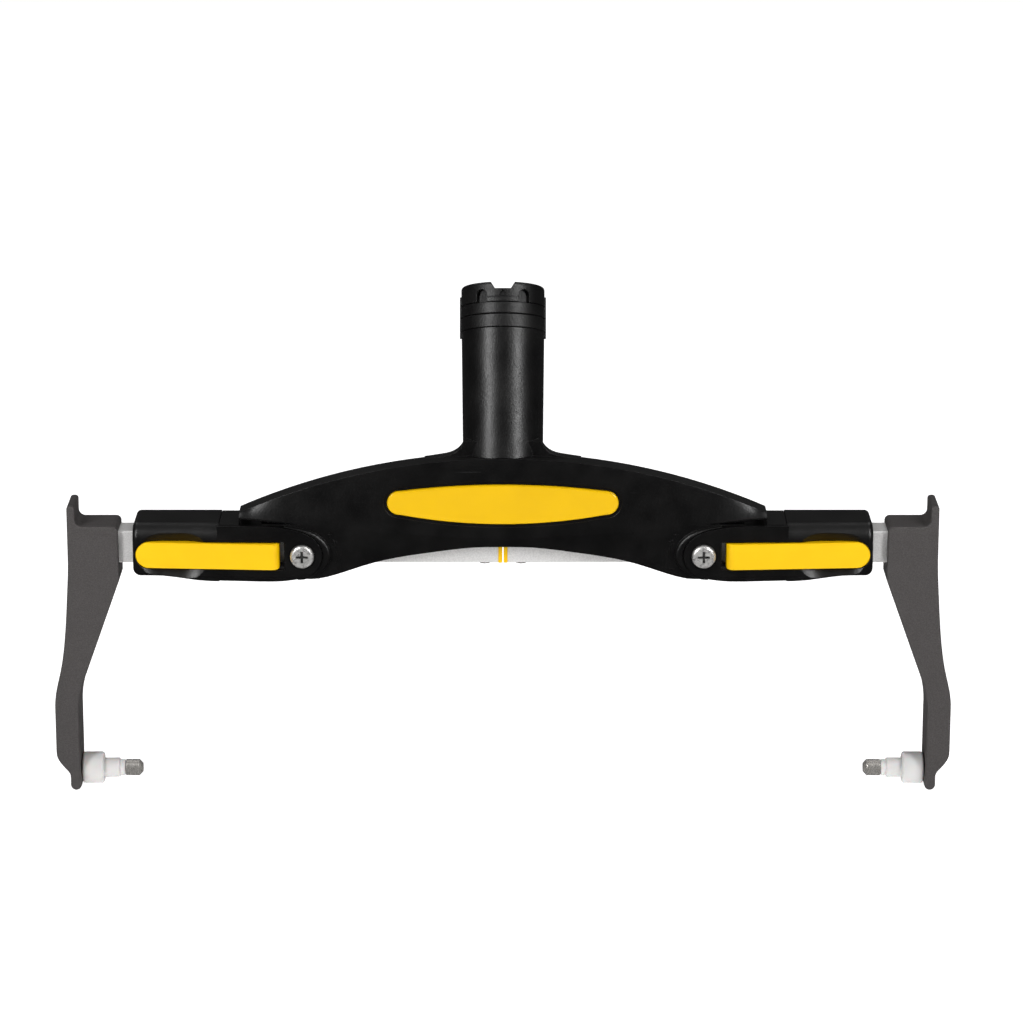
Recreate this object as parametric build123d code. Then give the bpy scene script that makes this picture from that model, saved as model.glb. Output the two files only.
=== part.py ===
from build123d import *
import os
from math import cos, radians, sin, sqrt

# An adjustable paint roller frame for covers 12 to 18 inches long. A moulded bow carries a pole socket and
# two square bars that slide outwards, one to each side. Each bar ends in a cast arm with a spindle that
# turns in the roller cover's end, and a cam lever in a lock housing grips each bar.
#
# Lengths are millimetres and angles are degrees. Parts are drawn about the middle of the bars: X along
# the bars, -Y on the badge side, Z up towards the socket. One shift at the end puts the origin at the
# mouth of the pole thread. Side parts are drawn for +X and mirrored for the left.

# Bars
BAR = 12.7
BAR_WALL = 1.3
BAR_CORNER = 0.8
BAR_START = 1.75
BAR_END = 163.0
BAR_GAP = 0.3
PLUG_GAP = 0.25
PLUG_DEPTH = 11.0
STOP_X = 7.0
STOP_HEAD_R = 2.7
STOP_HEAD_HEIGHT = 1.6
STOP_SHANK_R = 1.5
STOP_SHANK = 6.0
STOP_SLOT_WIDTH = 0.7
STOP_SLOT_LENGTH = 3.0

# Bow of the frame body: the rim on top and the lower edge are arcs, and a crease runs between them
BOW_HALF = 101.0
BOW_STATIONS = (18.0, 36.0, 54.0, 67.0, 84.0)
FACE_Y = -13.0
WALL_BACK_Y = -9.2
RIM_TOP = 36.7
RIM_R = 251.0
RIM_DEPTH = 10.0
RIM_WALL = 3.0
RIM_TWIST_START = 45.0
RIM_SETBACK = 3.5
RIM_DROP = 1.0
CREASE_Z = 4.9
CREASE_SLOPE = 0.034
CREASE_CURVE = 0.00057
ARCH_TOP = 1.3
ARCH_R = 204.0
ARCH_SETBACK = 1.8
ARCH_HALF = 69.0
ARCH_END_Z = -8.5
TIP_UNDERCUT_START = 77.0
TIP_UNDERCUT = 6.0
GUSSET = ((30.0, 34.9), (24.2, 35.8), (20.9, 36.4), (17.6, 37.9), (14.8, 42.0))
GUSSET_BACK_Y = -1.5
RIB = 2.0
RIB_FRONT_Y = -10.9
RIB_BACK_Y = -3.8
RIB_LOW_Z = 8.4
RIB_XS = (30.0, 42.0, 54.0, 66.0, 77.0, 88.0)

# Legs of the frame body, which the bars run through
LEG_START = 62.0
LEG_END = 108.5
LEG_TOP = 10.7
LEG_BOTTOM = -10.8
LEG_FRONT_Y = -12.9
LEG_BACK_Y = 9.8
LEG_SLOPE_END = 70.5
LEG_ROUND = 2.5
LEG_BEVEL = 0.9
LEG_BEVEL_Y = 1.9
STOP_SLOT_HALF = 3.2
STOP_SLOT_END = 86.6

# Socket, leaning back from the bow. Distances along its axis start where it crosses the rim's height
LEAN = 22.0
SOCKET_Y = 3.9
BARREL_FOOT_R = 15.35
BARREL_TOP_R = 15.95
BARREL_TOP = 44.5
BARREL_FOOT = -6.0
RING_TOPS = (49.8, 54.4)
COLLAR_TOP = 62.2
RING_R = 16.05
SLEEVE_R = 14.4
SOCKET_BORE_R = 13.0
RAIL_R = 16.6
RAIL_WIDTH = 3.4
RAIL_START = 42.5
RAIL_END = 58.2
SEAM = 0.15
HUB_HALF_X = 25.0
HUB_HALF_Y = 8.0
HUB_LOW_Z = 8.4
HUB_TOP_R = 19.6
FLARE = 4.2
FLARE_R = 4.3

# Pole thread: three quarter inch acme, five turns an inch
THREAD_CREST_R = 8.2
THREAD_ROOT_R = 9.8
THREAD_PITCH = 5.08
THREAD_GROOVES = 5
THREAD_LENGTH = 29.0
THREAD_GROOVE_WIDTH = 3.1
INSERT_R = 12.4
INSERT_FLOOR = 2.5

# Quick-connect collar on the socket's mouth
COLLAR_ROUND = 1.2
NOTCH_TOP = 9.4
NOTCH_LOW = 6.1
NOTCH_DEPTH = 2.7
POCKET_ANGLE = 30.8
POCKET_R = 2.35
POCKET_TOP = 59.4
POCKET_FLOOR_R = 14.0
MARK = 3.0
MARK_START = 56.9
MARK_DEPTH = 0.6
LINE_START = 56.1
LINE = 0.4
LINE_DEPTH = 0.3

# Badge on the bow
BADGE_END = 44.2
BADGE_SHOULDER = 39.2
BADGE_TOP = 26.5
BADGE_SHOULDER_TOP = 24.0
BADGE_MIDDLE = 19.6
BADGE_SHOULDER_LOW = 14.6
BADGE_LOW = 10.9
BADGE_RECESS = 1.4
BADGE_PROUD = 0.5
BADGE_EDGE = 0.8
BADGE_CORNER = 3.0
BADGE_GAP = 0.25
BADGE_BORDER = 1.3
BADGE_STEP = 0.35

# Lock housings: a closed sleeve round the bar, and a plate that runs inwards over the leg
SLEEVE_START = 108.8
SLEEVE_END = 141.8
SLEEVE_TOP = 10.7
SLEEVE_LOW = -9.7
SLEEVE_BACK_Y = 10.5
PLATE_TOP = 10.5
PLATE_LOW = -12.0
PLATE_END = 69.05
NOSE_START = 92.0
NOSE_UPPER = ((84.5, 9.8), (76.1, 7.9), (70.3, 3.2))
NOSE_LOWER = ((70.4, -5.4), (75.0, -9.3), (82.5, -11.4))
BEVEL_Z = -9.8
SLEEVE_CORNER = 3.0
SLEEVE_END_ROUND = 2.0
SLEEVE_TOP_ROUND = 6.0
SLEEVE_BACK_ROUND = 2.2
SLEEVE_TAPER_START = 134.3
PLATE_Y_INNER = -15.6
PLATE_Y_OUTER = -13.8
LOCK_Z = -1.25
SEAT_Y = -12.8
PLATE_GAP = 0.25
RIM_RING = 3.0
RIM_RING_Y = -14.9
RIM_RING_ROUND = 1.4

# Lever with its cam, turning on an upright pin
PIVOT_X = 89.4
PIVOT_Y = -11.2
PIVOT_R = 1.5
RUNNING_GAP = 0.05
LEVER_TIP = 140.5
LEVER_HALF = 5.15
LEVER_SLANT = 3.6
LEVER_FACE = 5.5
LEVER_THICK = 3.3
LEVER_HEEL = 4.0
LEVER_HEEL_ROUND = 3.0
CAM_R = 4.25
CAM_OFFSET = (0.3, 0.45)
LEVER_GAP = 0.35
WINDOW_START = 83.6
SLOT_FLOOR_Y = -9.7
WELL_END = 95.5
EAR = 1.85
EAR_HALF = 3.4
EAR_BACK_Y = -7.3
SCOOP_X = 126.5
SCOOP_HALF = 3.5
SCOOP_R = 18.0
SCOOP_DEPTH = 2.6

# Lock screw, which sets the lever's grip, and its nut
SCREW_X = 76.8
SCREW_HEAD_R = 4.7
SCREW_HEAD_HEIGHT = 2.5
SCREW_SHANK_R = 2.45
SCREW_END_Y = -6.95
SCREW_RECESS_R = 5.0
SCREW_RECESS = 1.1
SCREW_HOLE_R = 2.8
CROSS_LENGTH = 4.6
CROSS_WIDTH = 1.0
CROSS_DEPTH = 1.6
NUT_ACROSS = 8.0
NUT_FRONT_Y = -10.0
NUT_BACK_Y = -7.0

# Arms
ARM_HALF_DEPTH = 9.0
ARM_IN = 147.7
ARM_OUT = 167.2
ARM_TOP = 8.7
TAB_TOP = 16.8
TAB = 3.1
TAB_ROUND = 1.2
TAB_ROOT_ROUND = 2.6
ARM_TOP_ROUND = 2.0
BLADE_START_Z = -13.0
BLADE_END = (160.9, -49.5)
ARM_BACK = ((171.3, -49.8), (169.3, -36.9), (167.8, -17.5))
ARM_BACK_TOP_Z = -4.0
FOOT_TOP_Z = -66.0
FOOT_LOW_Z = -90.0
HEEL_TOP_Z = -64.5
HEEL_LOW_Z = -82.0
HEEL_CURVE = ((173.0, -85.8), (170.5, -89.2))
TOE_Z = -93.0
ARM_FOOT_IN = 164.7
ARM_FOOT_OUT = 173.8
ARM_TIP_HALF = 2.1
ARM_TIP_Z = -98.0
ARM_EDGE = 0.7
RIVET_X = 155.5
RIVET_R = 2.4
RIVET_HEAD_R = 4.2
RIVET_HEAD = 1.9
RIVET_END_Y = 4.2

# Spindles in the arms' feet
SPINDLE_Z = -91.6
BEARING_START = 164.3
FLANGE_R = 6.2
FLANGE_END = 156.0
MIDDLE_R = 3.8
MIDDLE_END = 149.8
NOSE_R = 3.15
NOSE_END = 147.7
PIN_SHANK_R = 2.0
PIN_HEAD_R = 3.18
PIN_TIP = 140.9
PIN_SEAT = 167.0
PIN_CHAMFER = 1.4
FLANGE_ROUND = 1.0
STEP_CHAMFER = 0.4


def sag(x, radius):
    """How far an arc of that radius, level at x = 0, has dropped at x."""
    return radius - sqrt(radius * radius - x * x)


def block(x, y, z):
    """A box from the lowest to the highest x, y and z, each given as a pair."""
    size = [high - low for low, high in (x, y, z)]
    return Pos(*[(low + high) / 2 for low, high in (x, y, z)]) * Box(*size)


def front_slab(outline, front_y, back_y):
    """An outline drawn in X and Z, made solid from front_y back to back_y."""
    return extrude(Plane.XZ.offset(-back_y) * outline, amount=back_y - front_y, dir=(0, -1, 0))


def flat_slab(outline, low_z, high_z):
    """An outline drawn in X and Y, made solid from low_z up to high_z."""
    return extrude(Plane.XY.offset(low_z) * outline, amount=high_z - low_z, dir=(0, 0, 1))


def rod_x(radius, x_a, x_b, z):
    """A round bar along X between two x values, on the spindle's or bar's line."""
    middle = (x_a + x_b) / 2
    return Pos(middle, 0, z) * Rot(0, 90, 0) * Cylinder(radius, abs(x_b - x_a))


def rod_y(radius, x, y_a, y_b, z):
    """A round bar along Y between two y values."""
    return Pos(x, (y_a + y_b) / 2, z) * Rot(90, 0, 0) * Cylinder(radius, abs(y_b - y_a))


def on_both_sides(pieces):
    """The right side's pieces and their mirror images."""
    return [side for piece in pieces for side in (piece, mirror(piece, Plane.YZ))]


def socket_plane(along):
    """A plane across the socket's axis, at that distance along it, with its Y towards the back."""
    lean = radians(LEAN)
    origin = (0, SOCKET_Y + along * sin(lean), RIM_TOP + along * cos(lean))
    return Plane(origin=origin, x_dir=(1, 0, 0), z_dir=(0, sin(lean), cos(lean)))


def socket_disc(radius, low, high):
    """A round solid on the socket's axis, between two distances along it."""
    return extrude(socket_plane(low) * Circle(radius), amount=high - low)


# ---- frame body


def rim_share(x):
    """0 where the bow's face is upright, 1 at its tips, where the rim has moved back most."""
    return (max(0.0, abs(x) - RIM_TWIST_START) / (BOW_HALF - RIM_TWIST_START)) ** 2


def rim_z(x):
    return RIM_TOP - sag(x, RIM_R) - RIM_DROP * rim_share(x)


def crease_z(x):
    """The crease in the bow's face, which meets the rim at the tips."""
    return min(CREASE_Z + CREASE_SLOPE * abs(x) + CREASE_CURVE * x * x, rim_z(x) - 1)


def arch_z(x):
    """The wall's lower edge: an arc, and past it a height that the leg hides."""
    return ARCH_TOP - sag(x, ARCH_R) if abs(x) < ARCH_HALF else ARCH_END_Z


def bow_section(x):
    """The bow across X: a front wall with a crease, under a rim that reaches back from it."""
    rim_front = FACE_Y + RIM_SETBACK * rim_share(x)
    foot_y = FACE_Y + ARCH_SETBACK * max(0.0, 1 - (x / ARCH_HALF) ** 2)
    points = [
        (rim_front + RIM_DEPTH, rim_z(x)),
        (rim_front, rim_z(x)),
        (FACE_Y, crease_z(x)),
        (foot_y, arch_z(x)),
        (WALL_BACK_Y, arch_z(x)),
        (WALL_BACK_Y + RIM_SETBACK * rim_share(x), rim_z(x) - RIM_WALL),
        (rim_front + RIM_DEPTH, rim_z(x) - RIM_WALL),
    ]
    return Plane.YZ.offset(x) * Polygon(*points, align=None)


def bow():
    half = [0.0, *BOW_STATIONS, BOW_HALF]
    stations = [-x for x in reversed(half[1:])] + half
    return loft([bow_section(x) for x in stations])


def ribs():
    """Upright ribs behind the bow's face, under the rim, on the right."""
    made = []
    for x in RIB_XS:
        low = RIB_LOW_Z if x < LEG_START else LEG_TOP - 1
        back = RIB_BACK_Y + RIM_SETBACK * rim_share(x)
        height = (low, rim_z(x + RIB / 2) - RIM_WALL / 2)
        made.append(block((x - RIB / 2, x + RIB / 2), (RIB_FRONT_Y, back), height))
    tip = block((BOW_HALF - 4, BOW_HALF), (RIB_FRONT_Y, 0), (LEG_TOP - 1, rim_z(BOW_HALF) - 1))
    return made + [tip]


def leg():
    """The right leg, round the bar. Its lower inner corner follows the bow's arch."""
    outline = Polygon(
        (LEG_START, LEG_TOP), (LEG_START, arch_z(LEG_START) + 0.2), (LEG_SLOPE_END, LEG_BOTTOM),
        (LEG_END, LEG_BOTTOM), (LEG_END, LEG_TOP), align=None)
    tube = front_slab(outline, LEG_FRONT_Y, LEG_BACK_Y)
    back = tube.faces().sort_by(Axis.Y)[-1]
    return fillet(back.edges().filter_by(Axis.Z, reverse=True), LEG_ROUND)


def spread(point, grow):
    """A point of the plate's round end moved outwards: sideways at its middle, up or down at its ends."""
    x, z = point
    share = (z - LOCK_Z) / (PLATE_TOP - LOCK_Z)
    return (x - grow * (1 - abs(share)), z + grow * share)


def plate_outline(grow=0.0):
    """The plate's outline over the leg, up to the sleeve, round its inner end; grow widens it all round."""
    top = (NOSE_START, PLATE_TOP + grow)
    low = (NOSE_START, PLATE_LOW - grow)
    round_end = [spread(point, grow) for point in (*NOSE_UPPER, (PLATE_END, LOCK_Z), *NOSE_LOWER)]
    nose = Spline(top, *round_end, low, tangents=[(-1, 0), (1, 0)])
    end = SLEEVE_START + 0.5
    rest = Polyline(low, (end, PLATE_LOW - grow), (end, PLATE_TOP + grow), top)
    return make_face([nose, rest])


def rim_ring():
    """A raised, rounded rim on the leg, widest at the plate's inner end."""
    outline = Pos(-RIM_RING, 0) * plate_outline(PLATE_GAP)
    ring = front_slab(outline, RIM_RING_Y, FACE_Y + 1)
    ring = fillet(ring.faces().sort_by(Axis.Y)[0].edges(), RIM_RING_ROUND)
    keep = block((LEG_START - 2, WINDOW_START), (-20, 0), (LEG_BOTTOM, LEG_TOP))
    return ring & keep


def tip_undercut():
    """The hollow under the bow's tip, above the leg: nothing at its start, deepest at the tip."""
    sections = []
    for x, depth in ((TIP_UNDERCUT_START, 0.05), (BOW_HALF + 1, TIP_UNDERCUT)):
        crease = crease_z(x) if depth > 1 else LEG_TOP + 0.05
        points = [(FACE_Y - 2, crease), (FACE_Y, crease), (FACE_Y + depth, LEG_TOP), (FACE_Y - 2, LEG_TOP)]
        sections.append(Plane.YZ.offset(x) * Polygon(*points, align=None))
    return loft(sections, ruled=True)


def leg_bevel():
    """A gentle slope on the leg's top, between the bow's tip and the sleeve."""
    front = FACE_Y - 1
    above = LEG_TOP + 1
    points = [(LEG_BEVEL_Y, LEG_TOP), (front, LEG_TOP - LEG_BEVEL), (front, above), (LEG_BEVEL_Y, above)]
    return extrude(Plane.YZ.offset(BOW_HALF) * Polygon(*points, align=None), amount=LEG_END + 1 - BOW_HALF)


def leg_cuts():
    """What is taken out of the right leg: the bar's way, the slot, the cam's well and the nut's pocket."""
    half = BAR / 2 + BAR_GAP
    tunnel = block((LEG_START - 1, LEG_END + 1), (-half, half), (-half, half))
    slot_y = (-STOP_SLOT_HALF, STOP_SLOT_HALF)
    slot = block((LEG_START - 1, STOP_SLOT_END), slot_y, (LEG_BOTTOM - 1, 0))
    ear_z = LEVER_HALF + LEVER_GAP + EAR + PLATE_GAP
    well_z = (LOCK_Z - ear_z, LOCK_Z + ear_z)
    well = block((WINDOW_START - 0.5, WELL_END), (FACE_Y - 1, 0), well_z)
    channel_z = (LOCK_Z - LEVER_HALF - 0.5, LOCK_Z + LEVER_HALF + 0.5)
    channel = block((WINDOW_START, LEG_END + 1), (FACE_Y - 1, SLOT_FLOOR_Y), channel_z)
    seat = front_slab(plate_outline(PLATE_GAP), -20, SEAT_Y)
    nut = Pos(SCREW_X, LOCK_Z) * RegularPolygon(NUT_ACROSS / 2, 6, major_radius=False)
    pocket = extrude(Plane.XZ.offset(-half) * nut, amount=half - NUT_FRONT_Y)
    bolt = rod_y(SCREW_HOLE_R, SCREW_X, FACE_Y - 1, 0, LOCK_Z)
    return [tunnel, slot, well, channel, seat, pocket, bolt, tip_undercut(), leg_bevel()]


def hub():
    """The flared root of the socket, widening down to the bow's back."""
    foot = Plane.XY.offset(HUB_LOW_Z) * Pos(0, WALL_BACK_Y + HUB_HALF_Y) * Ellipse(HUB_HALF_X, HUB_HALF_Y)
    neck = socket_plane(BARREL_FOOT) * Circle(HUB_TOP_R)
    root = loft([foot, neck])
    flare_arc = RadiusArc((HUB_TOP_R, 0), (BARREL_FOOT_R, FLARE), FLARE_R)
    edges = Polyline((BARREL_FOOT_R, FLARE), (0, FLARE), (0, 0), (HUB_TOP_R, 0))
    profile = wall_plane(BARREL_FOOT) * make_face([flare_arc, edges])
    flare = revolve(profile, Axis(socket_plane(BARREL_FOOT).origin, socket_plane(0).z_dir))
    before_face = block((-60, 60), (-60, FACE_Y + 1), (0, 90))
    before_rim_back = block((-60, 60), (-60, FACE_Y + RIM_DEPTH), (0, 90))
    return (root - before_face) + (flare - before_rim_back)


def gusset():
    """The web that spreads from the barrel's right side along the rim."""
    curve = Spline(*GUSSET, tangents=[(-1, 0.12), (-0.2, 1)])
    (far_x, far_z), (near_x, near_z) = GUSSET[0], GUSSET[-1]
    low = far_z - RIM_WALL
    rest = Polyline((near_x, near_z), (0, near_z), (0, low), (far_x, low), (far_x, far_z))
    return front_slab(make_face([curve, rest]), FACE_Y + RIM_DEPTH - 4, GUSSET_BACK_Y)


def barrel():
    """The socket's barrel, a little wider towards its mouth, with a rail on each side."""
    foot = socket_plane(BARREL_FOOT) * Circle(BARREL_FOOT_R)
    top = socket_plane(BARREL_TOP) * Circle(BARREL_TOP_R)
    made = loft([foot, top])
    return made + rails(RAIL_START, BARREL_TOP)


def rails(low, high):
    """The side rails' share of the socket between two distances along its axis."""
    band = socket_plane(low) * Rectangle(2 * RAIL_R, RAIL_WIDTH)
    return extrude(band, amount=high - low) & socket_disc(RAIL_R, low, high)


def badge_outline():
    shoulder = BADGE_SHOULDER
    top = ThreePointArc((-shoulder, BADGE_SHOULDER_TOP), (0, BADGE_TOP), (shoulder, BADGE_SHOULDER_TOP))
    low = ThreePointArc((shoulder, BADGE_SHOULDER_LOW), (0, BADGE_LOW), (-shoulder, BADGE_SHOULDER_LOW))
    ends = [
        ThreePointArc(
            (side * BADGE_SHOULDER, BADGE_SHOULDER_TOP),
            (side * BADGE_END, BADGE_MIDDLE),
            (side * BADGE_SHOULDER, BADGE_SHOULDER_LOW),
        )
        for side in (-1, 1)
    ]
    face = make_face([top, low, *ends])
    return fillet(face.vertices(), BADGE_CORNER)


def frame_body():
    body = bow() + hub() + barrel() + on_both_sides([leg(), rim_ring(), gusset(), *ribs()])
    bore = socket_disc(SLEEVE_R, BARREL_TOP - SEAM, BARREL_TOP + 1)
    insert_way = socket_disc(INSERT_R, BARREL_TOP - THREAD_LENGTH - INSERT_FLOOR, BARREL_TOP + 1)
    recess = front_slab(offset(badge_outline(), BADGE_GAP), FACE_Y - 1, FACE_Y + BADGE_RECESS)
    step = front_slab(offset(badge_outline(), BADGE_BORDER), FACE_Y - 1, FACE_Y + BADGE_STEP)
    for cut in [bore, insert_way, recess, step, *on_both_sides(leg_cuts())]:
        body -= cut
    return body


def badge():
    solid = front_slab(badge_outline(), FACE_Y - BADGE_PROUD, FACE_Y + BADGE_RECESS)
    return fillet(solid.faces().sort_by(Axis.Y)[0].edges(), BADGE_EDGE)


# ---- socket parts


def thread_insert():
    """A nut for the pole's acme thread, closed below, with its turns drawn as rings."""
    low = BARREL_TOP - THREAD_LENGTH - INSERT_FLOOR
    mouth = BARREL_TOP - SEAM
    body = socket_disc(INSERT_R, low, mouth)
    bore = socket_disc(THREAD_CREST_R, low + INSERT_FLOOR, mouth + 1)
    first = mouth - THREAD_PITCH
    grooves = [thread_groove(first - turn * THREAD_PITCH) for turn in range(THREAD_GROOVES)]
    return body - [bore, *grooves]


def thread_groove(along):
    """One turn's groove, with acme flanks of 29 degrees between them."""
    depth = THREAD_ROOT_R - THREAD_CREST_R
    root = THREAD_GROOVE_WIDTH - 2 * depth * 0.2586
    foot = socket_plane(along - THREAD_GROOVE_WIDTH / 2)
    lower = loft([foot * Circle(THREAD_CREST_R), socket_plane(along - root / 2) * Circle(THREAD_ROOT_R)])
    middle = socket_disc(THREAD_ROOT_R, along - root / 2, along + root / 2)
    top = socket_plane(along + THREAD_GROOVE_WIDTH / 2)
    upper = loft([socket_plane(along + root / 2) * Circle(THREAD_ROOT_R), top * Circle(THREAD_CREST_R)])
    return lower + middle + upper


def socket_ring(low, high):
    """A plain ring round the quick-connect sleeve, with its share of the side rails."""
    outer = socket_disc(RING_R, low + SEAM, high)
    outer = chamfer(outer.edges().filter_by(GeomType.CIRCLE), 0.25)
    return outer + rails(low + SEAM, high) - socket_disc(SLEEVE_R, low - 1, high + 1)


def quick_connect_collar():
    """The collar on the mouth, with its notches, pockets and mark, on a sleeve inside the two rings."""
    low = RING_TOPS[1] + SEAM
    head = socket_disc(RING_R, low, COLLAR_TOP)
    top_edge = head.edges().filter_by(GeomType.CIRCLE).sort_by(Axis.Z)[-1]
    head = fillet(top_edge, COLLAR_ROUND)
    head += rails(low, RAIL_END)
    head += socket_disc(SLEEVE_R, BARREL_TOP, low)
    cuts = [socket_disc(SOCKET_BORE_R, BARREL_TOP - 1, COLLAR_TOP + 1)]
    cuts += [collar_notch(turn) for turn in (0, 180)]
    cuts += [collar_pocket(turn + side * POCKET_ANGLE) for turn in (0, 180) for side in (-1, 1)]
    return head - cuts - collar_mark() - collar_line()


def turned(piece, degrees):
    """The piece turned about the socket's axis."""
    return piece.rotate(Axis(socket_plane(0).origin, socket_plane(0).z_dir), degrees)


def wall_plane(along):
    """A plane facing out of the socket's front at that distance along it: X is across, Y is along."""
    here = socket_plane(along)
    return Plane(origin=here.origin, x_dir=(1, 0, 0), z_dir=-here.y_dir)


def collar_notch(turn):
    """A notch in the collar's mouth, wider towards the top."""
    low = NOTCH_LOW / 2
    top = NOTCH_TOP - low
    deep = NOTCH_DEPTH
    shape = Polygon((-low, -deep), (low, -deep), (top, deep), (-top, deep), align=None)
    return turned(extrude(wall_plane(COLLAR_TOP) * shape, amount=RING_R + 2), turn)


def collar_pocket(turn):
    """An arched pocket in the collar's wall."""
    low = RING_TOPS[1] + SEAM
    height = POCKET_TOP - low
    arch = Pos(0, height - POCKET_R) * Circle(POCKET_R)
    arch += Pos(0, (height - POCKET_R) / 2) * Rectangle(2 * POCKET_R, height - POCKET_R)
    return turned(extrude(wall_plane(low).offset(POCKET_FLOOR_R) * arch, amount=RING_R), turn)


def collar_mark():
    """A small sunk arrowhead in the collar's front, pointing at the mouth."""
    shape = Polygon((-MARK / 2, 0), (MARK / 2, 0), (0, 0.75 * MARK), align=None)
    return extrude(wall_plane(MARK_START).offset(RING_R - MARK_DEPTH) * shape, amount=RING_R)


def collar_line():
    """A fine line round the collar's front, from pocket to pocket."""
    groove = socket_disc(RING_R + 1, LINE_START, LINE_START + LINE)
    groove -= socket_disc(RING_R - LINE_DEPTH, LINE_START - 1, LINE_START + LINE + 1)
    half = RING_R * sin(radians(POCKET_ANGLE))
    front = wall_plane(LINE_START - 1) * Pos(0, 1) * Rectangle(2 * half, 4)
    return groove & extrude(front, amount=2 * RING_R)


# ---- sliding bars and arms


def bar():
    outer = Plane.YZ.offset(BAR_START) * RectangleRounded(BAR, BAR, BAR_CORNER)
    inner = Plane.YZ.offset(BAR_START - 1) * Rectangle(BAR - 2 * BAR_WALL, BAR - 2 * BAR_WALL)
    length = BAR_END - BAR_START
    tube = extrude(outer, amount=length) - extrude(inner, amount=length + 2)
    stop_hole = Pos(STOP_X, 0, -BAR / 2) * Cylinder(STOP_SHANK_R, 2 * BAR_WALL + 1)
    rivet_hole = rod_y(RIVET_R + RUNNING_GAP, RIVET_X, BAR / 2 - BAR_WALL - 1, BAR, 0)
    return tube - stop_hole - rivet_hole


def bar_plug():
    """The plug in the bar's inner end, with a flange that meets the other bar's."""
    flange = Plane.YZ.offset(PLUG_GAP) * RectangleRounded(BAR + 0.4, BAR + 0.4, 1.0)
    flange = extrude(flange, amount=BAR_START - PLUG_GAP)
    flange = fillet(flange.faces().sort_by(Axis.X)[0].edges(), 0.4)
    half = BAR / 2 - BAR_WALL
    body = block((BAR_START, BAR_START + PLUG_DEPTH), (-half, half), (-half, half))
    body = chamfer(body.faces().sort_by(Axis.X)[-1].edges(), 0.6)
    hole = Pos(STOP_X, 0, -BAR / 2 + STOP_SHANK / 2) * Cylinder(STOP_SHANK_R, STOP_SHANK)
    return flange + body - hole


def stop_screw():
    """The screw under the bar that stops it at the end of its travel."""
    under = -BAR / 2
    head = Pos(STOP_X, 0, under - STOP_HEAD_HEIGHT / 2) * Cylinder(STOP_HEAD_R, STOP_HEAD_HEIGHT)
    head = fillet(head.edges().filter_by(GeomType.CIRCLE).sort_by(Axis.Z)[0], 0.9)
    shank = Pos(STOP_X, 0, under + STOP_SHANK / 2) * Cylinder(STOP_SHANK_R, STOP_SHANK)
    slot_z = under - STOP_HEAD_HEIGHT
    slot_span = (slot_z - 1, slot_z + STOP_HEAD_HEIGHT / 2)
    sizes = [(STOP_SLOT_LENGTH / 2, STOP_SLOT_WIDTH / 2), (STOP_SLOT_WIDTH / 2, STOP_SLOT_LENGTH / 2)]
    slots = [block((STOP_X - a, STOP_X + a), (-b, b), slot_span) for a, b in sizes]
    return head + shank - slots


def arm_outline():
    """The arm from the front: a block round the bar with a tab on it, a leaning blade and a foot."""
    tip_x = ARM_FOOT_IN - 0.4 + ARM_TIP_HALF
    tip_in = (tip_x - ARM_TIP_HALF, ARM_TIP_Z + ARM_TIP_HALF)
    tip_out = (tip_x + ARM_TIP_HALF, ARM_TIP_Z + ARM_TIP_HALF)
    toe = (tip_x + ARM_TIP_HALF, TOE_Z)
    heel_low = (ARM_FOOT_OUT, HEEL_LOW_Z)
    heel_top = (ARM_FOOT_OUT, HEEL_TOP_Z)
    foot_top = (ARM_FOOT_IN, FOOT_TOP_Z)
    back_top = (ARM_OUT, ARM_BACK_TOP_Z)
    tab_in = ARM_OUT - TAB
    return make_face([
        Polyline(
            back_top, (ARM_OUT, TAB_TOP), (tab_in, TAB_TOP), (tab_in, ARM_TOP), (ARM_IN, ARM_TOP),
            (ARM_IN, BLADE_START_Z), BLADE_END),
        Spline(BLADE_END, foot_top, tangents=[(1, -2.76), (0, -1)]),
        Polyline(foot_top, (ARM_FOOT_IN, FOOT_LOW_Z), tip_in),
        ThreePointArc(tip_in, (tip_x, ARM_TIP_Z), tip_out),
        Line(tip_out, toe),
        Spline(toe, *reversed(HEEL_CURVE), heel_low, tangents=[(0, 1), (0, 1)]),
        Line(heel_low, heel_top),
        Spline(heel_top, *ARM_BACK, back_top, tangents=[(0, 1), (0, 1)]),
    ])


def corners_at(solid, *places):
    """The edges along Y that pass through these x and z places."""
    near = [(e, e.center()) for e in solid.edges().filter_by(Axis.Y)]
    return [e for e, c in near if any(abs(c.X - x) < 0.1 and abs(c.Z - z) < 0.1 for x, z in places)]


def arm():
    """A cast arm. Its blade leans out so that its foot clears the roller cover's end."""
    solid = front_slab(arm_outline(), -ARM_HALF_DEPTH, ARM_HALF_DEPTH)
    tab_in = ARM_OUT - TAB
    solid = fillet(corners_at(solid, (tab_in, ARM_TOP)), TAB_ROOT_ROUND)
    solid = fillet(corners_at(solid, (ARM_IN, ARM_TOP)), ARM_TOP_ROUND)
    solid = fillet(corners_at(solid, (ARM_OUT, TAB_TOP), (tab_in, TAB_TOP)), TAB_ROUND)
    rims = solid.faces().filter_by(Axis.Y)
    solid = fillet(ShapeList([e for face in rims for e in face.edges()]), ARM_EDGE)
    half = BAR / 2
    bar_way = block((ARM_IN - 1, BAR_END), (-half, half), (-half, half))
    rivet_way = rod_y(RIVET_R + RUNNING_GAP, RIVET_X, 0, ARM_HALF_DEPTH + 1, 0)
    pin_way = rod_x(PIN_SHANK_R + RUNNING_GAP, ARM_FOOT_IN - 2, PIN_SEAT, SPINDLE_Z)
    return solid - bar_way - rivet_way - pin_way


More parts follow.
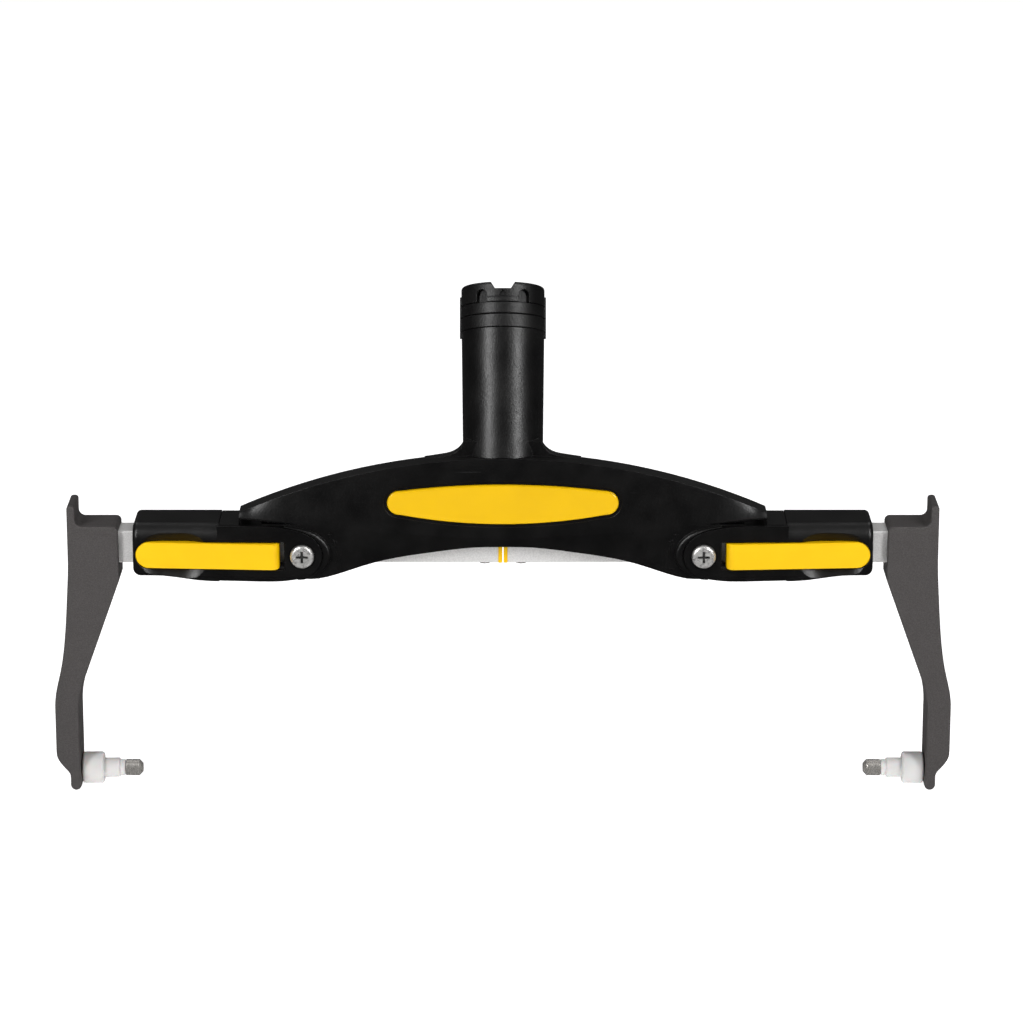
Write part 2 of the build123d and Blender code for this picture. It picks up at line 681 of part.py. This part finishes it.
def arm_rivet():
    """The rivet behind the arm that keeps it on the bar."""
    head = rod_y(RIVET_HEAD_R, RIVET_X, ARM_HALF_DEPTH, ARM_HALF_DEPTH + RIVET_HEAD, 0)
    head = fillet(head.edges().filter_by(GeomType.CIRCLE).sort_by(Axis.Y)[-1], 1.5)
    return head + rod_y(RIVET_R, RIVET_X, RIVET_END_Y, ARM_HALF_DEPTH, 0)


def spindle_pin():
    """The headed pin that the spindle turns on, pressed into the arm's foot."""
    head = rod_x(PIN_HEAD_R, PIN_TIP, NOSE_END - 0.2, SPINDLE_Z)
    tip = head.edges().filter_by(GeomType.CIRCLE).sort_by(Axis.X)[0]
    head = chamfer(tip, PIN_CHAMFER)
    return head + rod_x(PIN_SHANK_R, NOSE_END - 0.2, PIN_SEAT, SPINDLE_Z)


def spindle_bearing():
    """The stepped plastic spindle that centres and turns with the roller cover."""
    flange = rod_x(FLANGE_R, FLANGE_END, BEARING_START, SPINDLE_Z)
    flange = fillet(flange.edges().filter_by(GeomType.CIRCLE), FLANGE_ROUND)
    middle = rod_x(MIDDLE_R, MIDDLE_END, FLANGE_END, SPINDLE_Z)
    nose = rod_x(NOSE_R, NOSE_END, MIDDLE_END, SPINDLE_Z)
    solid = flange + middle + nose
    outer = [e for e in solid.edges().filter_by(GeomType.CIRCLE) if e.center().X < FLANGE_END - 1]
    convex = [e for e in outer if e.radius > NOSE_R + 0.1 or e.center().X < MIDDLE_END - 1]
    solid = chamfer(convex, STEP_CHAMFER)
    return solid - rod_x(PIN_SHANK_R + RUNNING_GAP, NOSE_END - 1, BEARING_START + 1, SPINDLE_Z)


# ---- locks


def face_slope():
    """How far the housing's front face falls back for each millimetre outwards."""
    return (PLATE_Y_OUTER - PLATE_Y_INNER) / (SLEEVE_END - PLATE_END)


def slant_cutter():
    """Everything in front of the housing's slanting face, and the bevel along its lower edge."""
    start = PLATE_END - 10
    length = SLEEVE_END + 10 - start
    front = PLATE_Y_INNER - 10 * face_slope()
    deep = 30.0
    points = [
        (front - deep, deep), (front, deep), (front, BEVEL_Z), (front + deep, BEVEL_Z - deep),
        (front - deep, BEVEL_Z - deep),
    ]
    section = Plane.YZ.offset(start) * Polygon(*points, align=None)
    return extrude(section, amount=length * sqrt(1 + face_slope() ** 2), dir=(1, face_slope(), 0))


def sleeve():
    """The closed part of the housing round the bar, rounded outside."""
    taper_start = (SLEEVE_TAPER_START, SLEEVE_LOW)
    seam_low = (SLEEVE_START, PLATE_LOW)
    outline = make_face([
        Polyline(
            seam_low, (SLEEVE_START, SLEEVE_TOP), (SLEEVE_END, SLEEVE_TOP),
            (SLEEVE_END, SLEEVE_LOW), taper_start),
        Spline(taper_start, seam_low, tangents=[(-1, 0), (-1, 0)]),
    ])
    solid = front_slab(outline, PLATE_Y_INNER, SLEEVE_BACK_Y) - slant_cutter()
    front = solid.faces().sort_by(Axis.Y)[0]
    solid = fillet([e for e in front.edges() if e.center().Z > SLEEVE_TOP - 0.2], SLEEVE_TOP_ROUND)
    solid = fillet(corners_at(solid, (SLEEVE_END, SLEEVE_LOW)), SLEEVE_CORNER)
    end = solid.faces().filter_by(Axis.X).sort_by(Axis.X)[-1]
    upper = [e for e in end.edges() if e.center().Z > SLEEVE_TOP - SLEEVE_TOP_ROUND]
    solid = fillet(upper, SLEEVE_END_ROUND)
    back = solid.faces().filter_by(Axis.Y).sort_by(Axis.Y)[-1]
    return fillet([e for e in back.edges() if e.center().X > SLEEVE_START + 0.2], SLEEVE_BACK_ROUND)


def lock_housing():
    plate = front_slab(plate_outline(), PLATE_Y_INNER, SEAT_Y) - slant_cutter()
    solid = sleeve() + plate + ears()
    half = BAR / 2 + BAR_GAP
    tunnel = block((SLEEVE_START - 1, SLEEVE_END + 1), (-half, half), (-half, half))
    front = PLATE_Y_INNER - 1
    screw_recess = rod_y(SCREW_RECESS_R, SCREW_X, front, PLATE_Y_INNER + SCREW_RECESS, LOCK_Z)
    screw_way = rod_y(SCREW_HOLE_R, SCREW_X, front, 0, LOCK_Z)
    low, high = lever_pin_span()
    pin_way = Pos(PIVOT_X, PIVOT_Y, LOCK_Z) * Cylinder(PIVOT_R, high - low)
    return solid - [tunnel, screw_recess, screw_way, lever_slot(), scoop(), pin_way]


def lever_pin_span():
    half = LEVER_HALF + LEVER_GAP + EAR
    return (LOCK_Z - half, LOCK_Z + half)


def lever_slot():
    """The window and channel that the closed lever lies in, round at its outer end."""
    half = LEVER_HALF + LEVER_GAP
    end = LEVER_TIP + LEVER_GAP - half
    outline = Pos((WINDOW_START + end) / 2, LOCK_Z) * Rectangle(end - WINDOW_START, 2 * half)
    outline += Pos(end, LOCK_Z) * Circle(half)
    return front_slab(outline, -30, SLOT_FLOOR_Y) - ear_solids()


def ear_solids():
    half = LEVER_HALF + LEVER_GAP
    x = (PIVOT_X - EAR_HALF, PIVOT_X + EAR_HALF)
    spans = [(LOCK_Z + half, LOCK_Z + half + EAR), (LOCK_Z - half - EAR, LOCK_Z - half)]
    return [block(x, (SEAT_Y - 0.5, EAR_BACK_Y), span) for span in spans]


def ears():
    """Two ears behind the plate that hold the lever's pin, above and below the lever."""
    upper, lower = ear_solids()
    return upper + lower


def scoop():
    """A shallow hollow in the sleeve's face that lets a finger get behind the lever's tip."""
    y = PLATE_Y_OUTER - SCOOP_R + SCOOP_DEPTH
    middle = Pos(SCOOP_X, y, LOCK_Z) * Rot(0, 90, 0) * Cylinder(SCOOP_R, 2 * SCOOP_HALF)
    ends = [Pos(SCOOP_X + side * SCOOP_HALF, y, LOCK_Z) * Sphere(SCOOP_R) for side in (-1, 1)]
    return middle + ends


def lever_outline():
    """The lever from above about its pivot: a long finger, a rounded heel and the cam on the bar's side."""
    tip = LEVER_TIP - PIVOT_X
    back = LEVER_THICK - LEVER_FACE
    finger = Polygon((0, -LEVER_FACE), (tip, -LEVER_FACE), (tip, back), (0, back), align=None)
    heel_x = (LEVER_HEEL_ROUND - LEVER_HEEL)
    heel = Pos(heel_x, LEVER_HEEL_ROUND - LEVER_FACE) * Circle(LEVER_HEEL_ROUND)
    heel += Polygon((heel_x, -LEVER_FACE), (2, -LEVER_FACE), (2, 0), (-LEVER_HEEL, 0),
                    (-LEVER_HEEL, LEVER_HEEL_ROUND - LEVER_FACE), align=None)
    cam = Pos(*CAM_OFFSET) * Circle(CAM_R)
    neck = Polygon((0, back - 0.2), (9, back - 0.2), (3.2, 2.4), align=None)
    return finger + heel + cam + neck


def lock_lever():
    """The lever, closed. Its tip is round from the front, and its edges are softened."""
    turn = Pos(PIVOT_X, PIVOT_Y, 0) * Rot(0, 0, LEVER_SLANT)
    solid = flat_slab(turn * lever_outline(), LOCK_Z - LEVER_HALF, LOCK_Z + LEVER_HALF)
    tip_edges = solid.faces().sort_by(Axis.X)[-1].edges().filter_by(GeomType.LINE)
    upright = [e for e in tip_edges if abs(e.tangent_at(0).Z) < 0.1]
    solid = fillet(upright, LEVER_HALF - 0.05)
    front = [f for f in solid.faces() if f.normal_at().Y < -0.9]
    solid = fillet(ShapeList([e for f in front for e in f.edges() if abs(e.tangent_at(0.5).Z) < 0.99]), 0.5)
    hole = Pos(PIVOT_X, PIVOT_Y, LOCK_Z) * Cylinder(PIVOT_R + RUNNING_GAP, 4 * LEVER_HALF)
    return solid - hole


def lever_pin():
    low, high = lever_pin_span()
    return Pos(PIVOT_X, PIVOT_Y, (low + high) / 2) * Cylinder(PIVOT_R, high - low)


def lock_screw():
    """A pan-head cross screw through the plate into the nut in the leg."""
    seat = PLATE_Y_INNER + SCREW_RECESS
    head = rod_y(SCREW_HEAD_R, SCREW_X, seat - SCREW_HEAD_HEIGHT, seat, LOCK_Z)
    head = fillet(head.edges().filter_by(GeomType.CIRCLE).sort_by(Axis.Y)[0], 1.7)
    shank = rod_y(SCREW_SHANK_R, SCREW_X, seat, SCREW_END_Y, LOCK_Z)
    top = seat - SCREW_HEAD_HEIGHT
    arms = [(CROSS_LENGTH / 2, CROSS_WIDTH / 2), (CROSS_WIDTH / 2, CROSS_LENGTH / 2)]
    cross = [
        block((SCREW_X - a, SCREW_X + a), (top - 1, top + CROSS_DEPTH), (LOCK_Z - b, LOCK_Z + b))
        for a, b in arms
    ]
    return head + shank - cross


def lock_nut():
    hexagon = Plane.XZ.offset(-NUT_BACK_Y) * Pos(SCREW_X, LOCK_Z) * RegularPolygon(
        NUT_ACROSS / 2, 6, major_radius=False)
    solid = extrude(hexagon, amount=NUT_BACK_Y - NUT_FRONT_Y)
    return solid - rod_y(SCREW_SHANK_R + RUNNING_GAP, SCREW_X, -20, 0, LOCK_Z)


MIDDLE_PARTS = {
    "frame_body": frame_body,
    "badge": badge,
    "thread_insert": thread_insert,
    "socket_ring_lower": lambda: socket_ring(BARREL_TOP, RING_TOPS[0]),
    "socket_ring_upper": lambda: socket_ring(RING_TOPS[0], RING_TOPS[1]),
    "quick_connect_collar": quick_connect_collar,
}
SIDE_PARTS = {
    "bar": bar,
    "bar_plug": bar_plug,
    "stop_screw": stop_screw,
    "arm": arm,
    "arm_rivet": arm_rivet,
    "spindle_pin": spindle_pin,
    "spindle_bearing": spindle_bearing,
    "lock_housing": lock_housing,
    "lock_lever": lock_lever,
    "lever_pin": lever_pin,
    "lock_screw": lock_screw,
    "lock_nut": lock_nut,
}


def main():
    os.makedirs("parts", exist_ok=True)
    mouth = socket_plane(BARREL_TOP - SEAM).origin
    shift = Pos(-mouth.X, -mouth.Y, -mouth.Z)
    made = {name: draw() for name, draw in MIDDLE_PARTS.items()}
    for name, draw in SIDE_PARTS.items():
        right = draw()
        made["right_" + name] = right
        made["left_" + name] = mirror(right, Plane.YZ)
    for name, piece in made.items():
        export_step(shift * piece, f"parts/{name}.step")


main()
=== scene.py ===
from math import cos, pi, radians, sin

import bmesh
import bpy
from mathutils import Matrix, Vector


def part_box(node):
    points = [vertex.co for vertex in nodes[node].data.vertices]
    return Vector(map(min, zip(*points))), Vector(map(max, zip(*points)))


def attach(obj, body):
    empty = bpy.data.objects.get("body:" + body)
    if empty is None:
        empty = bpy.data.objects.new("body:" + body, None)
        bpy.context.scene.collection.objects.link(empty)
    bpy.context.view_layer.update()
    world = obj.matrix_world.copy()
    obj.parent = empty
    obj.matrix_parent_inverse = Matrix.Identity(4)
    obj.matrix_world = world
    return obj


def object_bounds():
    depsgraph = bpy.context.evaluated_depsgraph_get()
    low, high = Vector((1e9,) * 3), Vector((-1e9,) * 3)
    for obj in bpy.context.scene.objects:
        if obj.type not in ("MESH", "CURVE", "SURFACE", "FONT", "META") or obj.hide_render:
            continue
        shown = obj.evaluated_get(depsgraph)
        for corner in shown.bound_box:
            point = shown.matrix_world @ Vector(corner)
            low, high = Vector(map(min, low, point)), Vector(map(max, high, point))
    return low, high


# The looks of an adjustable paint roller frame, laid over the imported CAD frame: materials, fine moulded
# marks, and a white studio with a camera straight in front, looking slightly down. Lengths are in metres.

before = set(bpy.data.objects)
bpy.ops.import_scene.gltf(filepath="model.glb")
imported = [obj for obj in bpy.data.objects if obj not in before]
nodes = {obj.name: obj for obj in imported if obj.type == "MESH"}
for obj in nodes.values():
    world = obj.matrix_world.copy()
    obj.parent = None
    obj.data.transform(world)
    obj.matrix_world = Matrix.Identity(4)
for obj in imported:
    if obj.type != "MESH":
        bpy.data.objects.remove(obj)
cad_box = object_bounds()

# ---- node material helpers


class Shader:
    """A node material. Sizes are in metres, in the object's own coordinates."""

    def __init__(self, name):
        self.material = bpy.data.materials.new(name)
        self.material.use_nodes = True
        self.tree = self.material.node_tree
        self.bsdf = self.tree.nodes["Principled BSDF"]
        self.coords = self.tree.nodes.new("ShaderNodeTexCoord").outputs["Object"]

    def add(self, kind, **settings):
        made = self.tree.nodes.new(kind)
        for name, value in settings.items():
            setattr(made, name, value)
        return made

    def link(self, output, target):
        self.tree.links.new(output, target)

    def set(self, **values):
        """Sets inputs of the Principled BSDF; an underscore stands for a space."""
        for name, value in values.items():
            self.bsdf.inputs[name.replace("_", " ")].default_value = value

    def stretched(self, scale):
        """The coordinates multiplied by (x, y, z) factors."""
        mapping = self.add("ShaderNodeMapping")
        mapping.inputs["Scale"].default_value = scale
        self.link(self.coords, mapping.inputs["Vector"])
        return mapping.outputs["Vector"]

    def noise(self, size, detail=2.0, along=None):
        """Noise with features about that size; along stretches it, as (x, y, z) factors."""
        made = self.add("ShaderNodeTexNoise")
        made.inputs["Scale"].default_value = 1.0 / size
        made.inputs["Detail"].default_value = detail
        source = self.coords if along is None else self.stretched(along)
        self.link(source, made.inputs["Vector"])
        return made.outputs["Fac"]

    def ramp(self, value, low, high, from_value=0.0, to_value=1.0):
        """value's span low..high mapped to from_value..to_value, clamped."""
        made = self.add("ShaderNodeMapRange")
        numbers = (low, high, from_value, to_value)
        for name, number in zip(("From Min", "From Max", "To Min", "To Max"), numbers):
            made.inputs[name].default_value = number
        self.link(value, made.inputs["Value"])
        return made.outputs["Result"]

    def math(self, operation, a, b):
        """A sum or other operation on two values, each a number or an output."""
        made = self.add("ShaderNodeMath", operation=operation)
        for value, socket in zip((a, b), made.inputs):
            if isinstance(value, (int, float)):
                socket.default_value = value
            else:
                self.link(value, socket)
        return made.outputs["Value"]

    def mix(self, factor, a, b):
        """From colour a to colour b by the factor; each is a tuple or an output."""
        made = self.add("ShaderNodeMix", data_type="RGBA")
        self.link(factor, made.inputs["Factor"])
        for value, name in ((a, "A"), (b, "B")):
            socket = [s for s in made.inputs if s.name == name and s.type == "RGBA"][0]
            if isinstance(value, tuple):
                socket.default_value = (*value, 1.0)
            else:
                self.link(value, socket)
        return [s for s in made.outputs if s.type == "RGBA"][0]

    def bump(self, *layers, edge=0.0003):
        """Layers of (height, depth in metres) over edges softened by that radius."""
        normal = None
        if edge:
            soft = self.add("ShaderNodeBevel", samples=4)
            soft.inputs["Radius"].default_value = edge
            normal = soft.outputs["Normal"]
        for height, depth in layers:
            made = self.add("ShaderNodeBump")
            made.inputs["Distance"].default_value = depth
            self.link(height, made.inputs["Height"])
            if normal is not None:
                self.link(normal, made.inputs["Normal"])
            normal = made.outputs["Normal"]
        self.link(normal, self.bsdf.inputs["Normal"])


def black_plastic(name, grain, grain_depth, rough):
    """Glass-filled black nylon: a fine moulded grain, cloudy gloss and a few light handling scratches."""
    s = Shader(name)
    s.set(Specular_IOR_Level=0.50)
    cloud = s.noise(0.011, 3)
    fleck = s.noise(grain, 2)
    scratch = s.ramp(s.noise(0.0009, 1, (0.05, 1, 1)), 0.76, 0.80)
    base = s.mix(s.ramp(cloud, 0.35, 0.65), (0.0016, 0.0015, 0.0016), (0.0034, 0.0032, 0.0032))
    s.link(s.mix(scratch, base, (0.012, 0.012, 0.0125)), s.bsdf.inputs["Base Color"])
    gloss = s.ramp(cloud, 0.3, 0.7, rough - 0.03, rough + 0.04)
    s.link(s.math("ADD", gloss, s.ramp(fleck, 0.4, 0.7, -0.02, 0.04)), s.bsdf.inputs["Roughness"])
    s.bump((fleck, grain_depth), (s.noise(0.02, 1), 0.0004), (scratch, -0.00002))
    return s.material


def yellow_plastic(name, light, rough, coat):
    """Bright yellow moulded plastic, faintly uneven, with small rubbed spots."""
    s = Shader(name)
    cloud = s.noise(0.015, 2)
    rub = s.ramp(s.noise(0.0022, 3), 0.62, 0.70)
    tones = [(red * light, green * light, 0.0) for red, green in ((0.76, 0.45), (0.80, 0.48))]
    base = s.mix(s.ramp(cloud, 0.3, 0.7), *tones)
    s.link(base, s.bsdf.inputs["Base Color"])
    s.link(s.math("ADD", s.ramp(rub, 0, 1, 0, 0.08), rough), s.bsdf.inputs["Roughness"])
    s.set(Coat_Weight=coat, Coat_Roughness=0.08, Specular_IOR_Level=0.18)
    s.bump((s.noise(0.0006, 2), 0.00001), (s.noise(0.02, 1), 0.0003))
    return s.material


def bar_aluminium(name):
    """Satin anodised aluminium, with drawing lines along the bar and fine bright specks."""
    s = Shader(name)
    lines = s.noise(0.00035, 3, (0.012, 1, 1))
    speck = s.noise(0.0005, 2)
    base = s.mix(s.ramp(speck, 0.35, 0.65), (0.74, 0.73, 0.72), (0.86, 0.85, 0.84))
    s.link(base, s.bsdf.inputs["Base Color"])
    s.set(Metallic=0.35)
    s.link(s.ramp(lines, 0.3, 0.7, 0.40, 0.55), s.bsdf.inputs["Roughness"])
    s.bump((lines, 0.00002), (speck, 0.00003))
    return s.material


def arm_paint(name):
    """A cast arm under a thin warm grey powder coat: fine grain and a slow unevenness."""
    s = Shader(name)
    grain = s.noise(0.0004, 3)
    cast = s.noise(0.006, 2)
    base = s.mix(s.ramp(grain, 0.35, 0.68), (0.062, 0.057, 0.056), (0.088, 0.081, 0.080))
    s.link(base, s.bsdf.inputs["Base Color"])
    s.set(Metallic=0.25, Specular_IOR_Level=0.3)
    s.link(s.ramp(cast, 0.3, 0.7, 0.50, 0.62), s.bsdf.inputs["Roughness"])
    s.bump((grain, 0.00004), (cast, 0.00008), edge=0.0005)
    return s.material


def white_plastic(name):
    """Turned white nylon, slightly translucent, with fine turning rings."""
    s = Shader(name)
    rings = s.noise(0.0004, 2, (1, 0.02, 0.02))
    base = s.mix(s.ramp(s.noise(0.008, 2), 0.3, 0.7), (0.585, 0.575, 0.57), (0.635, 0.625, 0.615))
    s.link(base, s.bsdf.inputs["Base Color"])
    s.link(s.ramp(rings, 0.3, 0.7, 0.34, 0.48), s.bsdf.inputs["Roughness"])
    s.set(Subsurface_Weight=0.2, Subsurface_Scale=0.002, Specular_IOR_Level=0.35)
    s.bump((rings, 0.00001))
    return s.material


def turned_steel(name, color, rough):
    """Bright turned steel, with fine rings round X and small dark stains."""
    s = Shader(name)
    rings = s.noise(0.0003, 2, (1, 0.05, 0.05))
    stain = s.ramp(s.noise(0.002, 3), 0.55, 0.72)
    s.link(s.mix(stain, color, tuple(0.8 * c for c in color)), s.bsdf.inputs["Base Color"])
    s.set(Metallic=0.8)
    s.link(s.ramp(rings, 0.3, 0.7, rough, rough + 0.10), s.bsdf.inputs["Roughness"])
    s.bump((rings, 0.00001))
    return s.material


def chrome(name, face_y):
    """Bright plated steel. Painted shade: its colour goes darker and duller in its recess and round its
    rim, which lie behind face_y.
    """
    s = Shader(name)
    dents = s.noise(0.0016, 1)
    plain = s.mix(s.ramp(s.noise(0.0012, 2), 0.50, 0.66), (0.92, 0.905, 0.88), (0.58, 0.57, 0.56))
    split = s.add("ShaderNodeSeparateXYZ")
    s.link(s.coords, split.inputs["Vector"])
    # Painted shade: the colour goes nearly black behind face_y, in the screw's recess and round its rim.
    painted_recess_shade = s.ramp(split.outputs["Y"], face_y + 0.0004, face_y + 0.0012, 0.0, 0.85)
    s.link(s.mix(painted_recess_shade, plain, (0.05, 0.049, 0.047)), s.bsdf.inputs["Base Color"])
    s.set(Metallic=0.75)
    s.link(s.ramp(dents, 0.35, 0.7, 0.26, 0.42), s.bsdf.inputs["Roughness"])
    s.bump((dents, 0.00018), edge=0.0001)
    return s.material


def dress(material, slot, *names):
    """Puts a material on nodes. The slot argument is not used."""
    for name in names:
        obj = nodes[name]
        obj.data.materials.clear()
        obj.data.materials.append(material)


def both(*names):
    """The left and the right node of each name."""
    return [f"{side}_{name}" for side in ("left", "right") for name in names]


body_black = black_plastic("body_black", 0.0007, 0.00006, 0.36)
socket_black = black_plastic("socket_black", 0.0006, 0.00010, 0.42)
lock_black = black_plastic("lock_black", 0.0007, 0.00005, 0.34)
dress(body_black, "black_plastic", "frame_body", "thread_insert")
dress(socket_black, "black_plastic", "socket_ring_lower", "socket_ring_upper", "quick_connect_collar")
dress(lock_black, "black_plastic", *both("lock_housing"))
dress(yellow_plastic("badge_yellow", 0.88, 0.30, 0.4), "yellow_plastic", "badge")
dress(yellow_plastic("lever_yellow", 1.0, 0.42, 0.0), "yellow_plastic", *both("lock_lever", "bar_plug"))
dress(bar_aluminium("bar_aluminium"), "bar_aluminium", *both("bar"))
dress(arm_paint("arm_paint"), "arm_paint", *both("arm"))
dress(white_plastic("spindle_white"), "white_plastic", *both("spindle_bearing"))
pin_steel = turned_steel("pin_steel", (0.74, 0.71, 0.67), 0.20)
dress(pin_steel, "pin_steel", *both("spindle_pin", "stop_screw", "arm_rivet", "lock_nut"))
# Painted shade: the lever pins get a near-black steel colour so that they read as the dark gap at the
# lever's inner end.
dress(turned_steel("pin_steel_painted_shade", (0.06, 0.058, 0.055), 0.35), "pin_steel", *both("lever_pin"))
screw_face_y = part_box("left_lock_screw")[0][1]
dress(chrome("screw_chrome", screw_face_y), "screw_chrome", *both("lock_screw"))


# ---- fine detail moulded on the frame and its parts


class Relief:
    """Thin raised marks laid on a node's surface, along one axis, and kept as one piece."""

    STEPS = 28
    REACH = 0.2
    PROFILE = ((-1, -0.3), (-0.6, 1), (0.6, 1), (1, -0.3))

    def __init__(self, name, node, toward, height=0.00025):
        self.mesh = bmesh.new()
        self.name = name
        self.node = nodes[node]
        self.toward = Vector(toward)
        self.height = height

    def on_surface(self, point):
        """The point moved along the axis onto the node's surface."""
        start = Vector(point) - self.toward * self.REACH
        found, place, _, _ = self.node.ray_cast(start, self.toward)
        return place if found else None

    def ribbon(self, points, width, closed=False):
        """A chamfered ribbon along the points, on the surface. One that runs off the node is left out."""
        points = [Vector(p) for p in points]
        count = len(points)
        places = []
        for i, point in enumerate(points):
            after = points[(i + 1) % count] if closed or i + 1 < count else point
            before = points[i - 1] if closed or i else point
            across = (after - before).cross(self.toward).normalized() * width / 2
            feet = [self.on_surface(point + across * share) for share, _ in self.PROFILE]
            if None in feet:
                return
            lifts = [self.toward * self.height * lift for _, lift in self.PROFILE]
            places.append([foot - lift for foot, lift in zip(feet, lifts)])
        rows = [[self.mesh.verts.new(place) for place in row] for row in places]
        spans = list(zip(rows, rows[1:])) + ([(rows[-1], rows[0])] if closed else [])
        for a, b in spans:
            for k in range(len(self.PROFILE) - 1):
                self.mesh.faces.new((a[k], a[k + 1], b[k + 1], b[k]))
        if not closed:
            self.mesh.faces.new(rows[0])
            self.mesh.faces.new(list(reversed(rows[-1])))

    def arc(self, centre, radius, start, end, width, plane, closed=False):
        """An arc from start to end, in degrees, in the plane of two axes."""
        u, v = plane
        count = self.STEPS if closed else self.STEPS + 1
        angles = [radians(start + (end - start) * i / self.STEPS) for i in range(count)]
        points = [Vector(centre) + radius * (cos(a) * Vector(u) + sin(a) * Vector(v)) for a in angles]
        self.ribbon(points, width, closed)

    def finish(self, material, body):
        """The marks as one object that rides on a body."""
        mesh = bpy.data.meshes.new(self.name)
        bmesh.ops.recalc_face_normals(self.mesh, faces=self.mesh.faces)
        self.mesh.to_mesh(mesh)
        self.mesh.free()
        mesh.materials.append(material)
        obj = bpy.data.objects.new(self.name, mesh)
        bpy.context.scene.collection.objects.link(obj)
        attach(obj, body)


def middle_of(node):
    """The middle of a node's box."""
    low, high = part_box(node)
    return (Vector(low) + Vector(high)) / 2


FROM_FRONT = (0, 1, 0)
FROM_BACK = (0, -1, 0)
MARK_RADIUS = 0.0132
MARK_WIDTH = 0.00045
MARK_SIZE = 0.0011
ARROW_BARB = 0.001
RING_XS = (-0.092, -0.070, 0.070, 0.092)
RING_RADIUS = 0.0022
RING_WIDTH = 0.0004


def turn_mark(side, inwards):
    """An arrow bent round the tension screw, with a plus at one end and a minus at the other."""
    centre = middle_of(f"{side}_lock_screw")
    centre.y = 0
    across = Vector((inwards, 0, 0))
    up = Vector((0, 0, 1))

    def at(angle, out=0.0):
        """The point at that angle round the screw, in degrees, and further out by out."""
        return centre + (MARK_RADIUS + out) * (cos(radians(angle)) * across + sin(radians(angle)) * up)

    tail, neck, barbs, tip = -14, 26, 21, 27
    plus, minus = at(37), at(-25)
    relief = Relief(f"{side}_turn_mark", "frame_body", FROM_FRONT, 0.0002)
    relief.arc(centre, MARK_RADIUS, tail, neck, MARK_WIDTH, (across, up))
    relief.ribbon([at(barbs, -ARROW_BARB), at(tip), at(barbs, ARROW_BARB)], MARK_WIDTH)
    for spot, line in ((plus, across), (plus, up), (minus, across)):
        relief.ribbon([spot - MARK_SIZE * line, spot + MARK_SIZE * line], MARK_WIDTH)
    relief.finish(body_black, "frame")


def ejector_rings():
    """Rings left by the mould's ejector pins on the backs of the legs."""
    relief = Relief("ejector_rings", "frame_body", FROM_BACK, 0.00012)
    leg_z = middle_of("left_bar").z
    for x in RING_XS:
        centre = (x, 0, leg_z)
        relief.arc(centre, RING_RADIUS, 0, 360, RING_WIDTH, ((1, 0, 0), (0, 0, 1)), closed=True)
    relief.finish(body_black, "frame")


turn_mark("left", 1)
turn_mark("right", -1)
ejector_rings()


# ---- floor, light and camera


def floor_material():
    """White paper, lit a little from within so that it stays evenly white."""
    s = Shader("floor_white")
    cloud = s.ramp(s.noise(0.05, 2), 0.3, 0.7)
    s.link(s.mix(cloud, (0.84, 0.84, 0.84), (0.86, 0.86, 0.86)), s.bsdf.inputs["Base Color"])
    s.link(s.mix(cloud, (1, 1, 1), (0.99, 0.99, 0.99)), s.bsdf.inputs["Emission Color"])
    s.set(Roughness=0.9, Specular_IOR_Level=0.1, Emission_Strength=0.84)
    return s.material


def add_floor(height, half=9.0):
    """A plain white floor that does not show in the gloss of the black parts."""
    mesh = bpy.data.meshes.new("floor")
    corners = [(x * half, y * half, height) for x, y in ((-1, -1), (1, -1), (1, 1), (-1, 1))]
    mesh.from_pydata(corners, [], [(0, 1, 2, 3)])
    floor = bpy.data.objects.new("floor", mesh)
    bpy.context.scene.collection.objects.link(floor)
    mesh.materials.append(floor_material())
    floor.visible_glossy = False


def add_light(kind, name, place, aim, energy, **settings):
    """A light at a place, facing another place."""
    data = bpy.data.lights.new(name, kind)
    data.energy = energy
    for key, value in settings.items():
        setattr(data, key, value)
    lamp = bpy.data.objects.new(name, data)
    lamp.location = place
    lamp.rotation_euler = (Vector(aim) - Vector(place)).to_track_quat("-Z", "Y").to_euler()
    bpy.context.scene.collection.objects.link(lamp)


def add_world(strength):
    """An even white surround."""
    world = bpy.data.worlds.new("studio")
    world.use_nodes = True
    world.node_tree.nodes["Background"].inputs["Color"].default_value = (1, 1, 1, 1)
    world.node_tree.nodes["Background"].inputs["Strength"].default_value = strength
    bpy.context.scene.world = world


def add_camera(target, distance, dip, lens):
    """A camera in front of the target, looking down at it by dip."""
    data = bpy.data.cameras.new("camera")
    data.lens = lens
    data.sensor_width = 36
    data.clip_start = 0.01
    camera = bpy.data.objects.new("camera", data)
    camera.location = Vector(target) + distance * Vector((0, -cos(dip), sin(dip)))
    camera.rotation_euler = (pi / 2 - dip, 0, 0)
    bpy.context.scene.collection.objects.link(camera)
    bpy.context.scene.camera = camera


FLOOR_GAP = 0.0002
STRIP_DISTANCE = 1.3
STRIP_AZIMUTHS = (-44, 47)

# The lights and the camera aim a little above the place where the bars meet.
middle = (middle_of("left_bar") + middle_of("right_bar")) / 2 + Vector((0.0033, 0, 0.01235))
add_floor(cad_box[0][2] - FLOOR_GAP)
for azimuth in STRIP_AZIMUTHS:
    place = STRIP_DISTANCE * Vector((sin(radians(azimuth)), -cos(radians(azimuth)), 0.52))
    add_light("AREA", "strip", place, middle, 12.5, shape="RECTANGLE", size=0.3, size_y=1.0)
add_light("SUN", "overhead", (0, -0.2, 2), (0, 0, 0), 0.25, angle=radians(70))
for x in (-0.7, 0.7):
    add_light("AREA", "back_box", (x, 1.1, 1.35), middle, 2, shape="RECTANGLE", size=0.5, size_y=0.9)
add_world(strength=0.04)
add_camera(middle, distance=1.59775, dip=radians(15.6), lens=146.04)
bpy.context.scene.view_settings.view_transform = "Standard"
